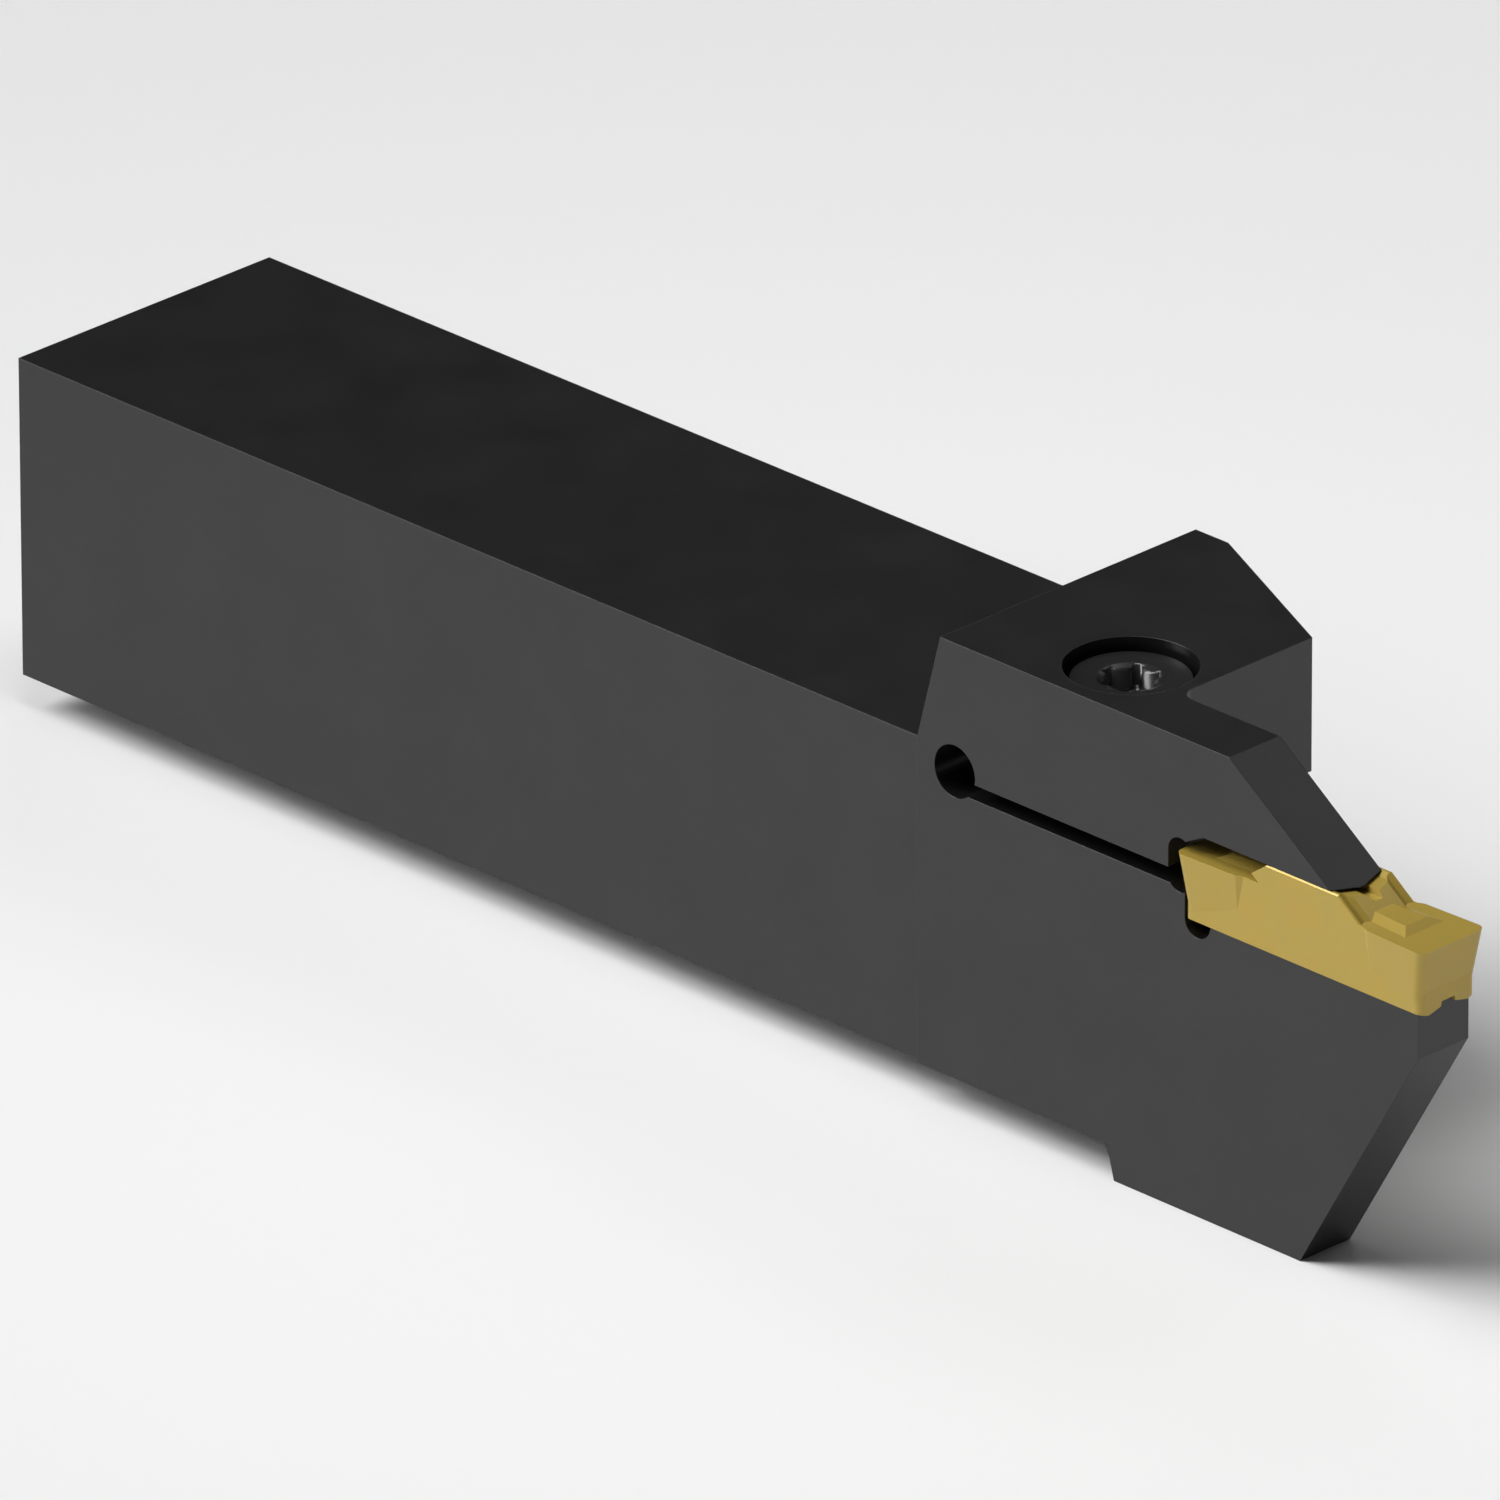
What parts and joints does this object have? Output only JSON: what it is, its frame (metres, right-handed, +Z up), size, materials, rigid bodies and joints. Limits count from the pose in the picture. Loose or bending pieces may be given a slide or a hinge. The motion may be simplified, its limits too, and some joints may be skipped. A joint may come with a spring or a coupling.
{
  "type": "parting tool holder",
  "caption": "Square shank holder for parting and grooving on a lathe, with a screw clamped spring jaw and a coated double ended cutting insert",
  "frame": {"origin": "middle of the square shank's underside, halfway along the shank from its rear end to the head", "axes": "+X along the shank to the cutting edge, +Y from the blade's side of the head to its other side, +Z up"},
  "size_m": [0.1409, 0.0259, 0.0362],
  "materials": {
    "holder_steel": "fine milled and oxidised hardened steel, satin dark grey",
    "insert_coating": "cemented carbide with a pale gold titanium nitride coating",
    "screw_steel": "oxidised alloy steel, satin dark grey"
  },
  "bodies": {
    "root": {"holder_body": "holder_steel", "cutting_insert": "insert_coating", "clamp_screw": "screw_steel"}
  },
  "joints": []
}
